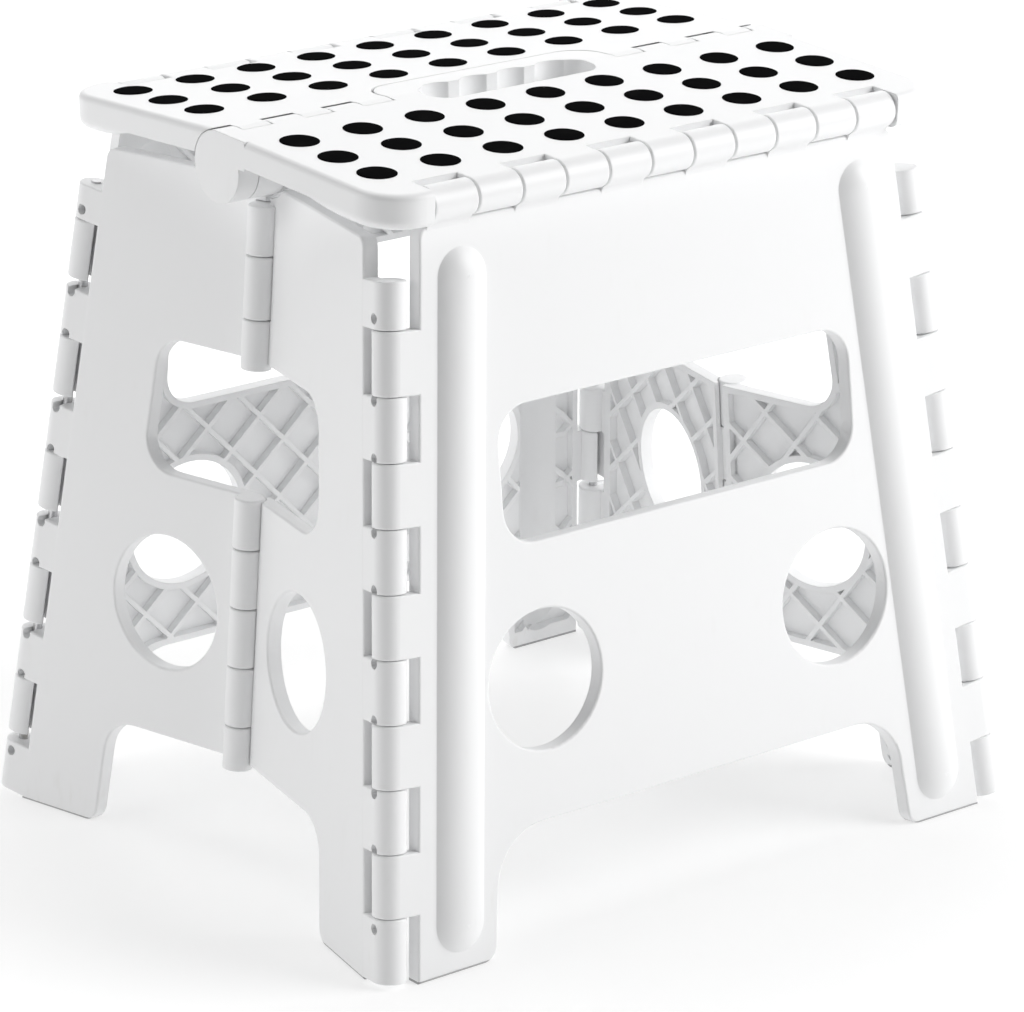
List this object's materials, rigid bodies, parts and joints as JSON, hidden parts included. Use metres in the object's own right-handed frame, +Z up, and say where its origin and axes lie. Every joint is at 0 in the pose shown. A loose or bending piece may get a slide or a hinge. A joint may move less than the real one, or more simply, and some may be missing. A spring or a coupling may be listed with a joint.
{
  "type": "folding step stool",
  "caption": "Folding step stool of moulded plastic: a hinged, dotted top with a handle slot over splayed leg panels, with side panels that fold inwards.",
  "frame": {"origin": "on the floor under the middle of the stool, below the centre hinge", "axes": "+X along the width of the top, to the right when looking at the front; +Y from the front to the rear; +Z up"},
  "size_m": [0.3384, 0.2862, 0.32],
  "materials": {
    "white_plastic": "white satin moulded polypropylene",
    "grip_rubber": "matte black soft grip dots",
    "foot_rubber": "matte dark grey soles",
    "hinge_steel": "bright steel hinge pins"
  },
  "bodies": {
    "front_leg": {"front_leg_panel": "white_plastic", "front_foot_pads": "foot_rubber", "front_top_pin": "hinge_steel"},
    "front_deck": {"front_deck": "white_plastic", "front_grip_dots": "grip_rubber", "left_center_pin": "hinge_steel", "right_center_pin": "hinge_steel"},
    "rear_deck": {"rear_deck": "white_plastic", "rear_grip_dots": "grip_rubber"},
    "rear_leg": {"rear_leg_panel": "white_plastic", "rear_foot_pads": "foot_rubber", "rear_top_pin": "hinge_steel"},
    "left_front_side": {"left_front_side": "white_plastic", "left_front_foot_pad": "foot_rubber", "front_left_corner_pin": "hinge_steel", "left_upper_middle_pin": "hinge_steel", "left_lower_middle_pin": "hinge_steel"},
    "left_rear_side": {"left_rear_side": "white_plastic", "left_rear_foot_pad": "foot_rubber", "rear_left_corner_pin": "hinge_steel"},
    "right_front_side": {"right_front_side": "white_plastic", "right_front_foot_pad": "foot_rubber", "front_right_corner_pin": "hinge_steel", "right_upper_middle_pin": "hinge_steel", "right_lower_middle_pin": "hinge_steel"},
    "right_rear_side": {"right_rear_side": "white_plastic", "right_rear_foot_pad": "foot_rubber", "rear_right_corner_pin": "hinge_steel"}
  },
  "joints": [
    {"name": "front_deck_hinge", "type": "hinge", "parent": "front_leg", "child": "front_deck", "pos_m": [0, -0.10354, 0.3077], "axis": [1, 0, 0], "range_deg": [0, 75.51]},
    {"name": "center_hinge", "type": "hinge", "parent": "front_deck", "child": "rear_deck", "pos_m": [0, 0, 0.30498], "axis": [1, 0, 0], "range_deg": [-164.67, 0]},
    {"name": "rear_deck_hinge", "type": "hinge", "parent": "rear_deck", "child": "rear_leg", "pos_m": [0, 0.10354, 0.3077], "axis": [1, 0, 0], "range_deg": [0, 75.51]},
    {"name": "left_front_corner_hinge", "type": "hinge", "parent": "front_leg", "child": "left_front_side", "pos_m": [-0.1626, -0.13335, 0], "axis": [0.0973, 0.1184, 0.9882], "range_deg": [-78.2, 0]},
    {"name": "left_middle_hinge", "type": "hinge", "parent": "left_front_side", "child": "left_rear_side", "pos_m": [-0.143, 0, 0], "axis": [0.0719, 0, 0.9974], "range_deg": [0, 155.24]},
    {"name": "right_front_corner_hinge", "type": "hinge", "parent": "front_leg", "child": "right_front_side", "pos_m": [0.1626, -0.13335, 0], "axis": [-0.0973, 0.1184, 0.9882], "range_deg": [0, 78.2]},
    {"name": "right_middle_hinge", "type": "hinge", "parent": "right_front_side", "child": "right_rear_side", "pos_m": [0.143, 0, 0], "axis": [-0.0719, 0, 0.9974], "range_deg": [-155.24, 0]}
  ],
  "couplings": [
    {"joint": "center_hinge", "follows": "front_deck_hinge", "ratio": -2.1809},
    {"joint": "rear_deck_hinge", "follows": "front_deck_hinge", "ratio": 1},
    {"joint": "left_front_corner_hinge", "follows": "front_deck_hinge", "ratio": -1.0356},
    {"joint": "left_middle_hinge", "follows": "front_deck_hinge", "ratio": 2.056},
    {"joint": "right_front_corner_hinge", "follows": "front_deck_hinge", "ratio": 1.0356},
    {"joint": "right_middle_hinge", "follows": "front_deck_hinge", "ratio": -2.056}
  ]
}
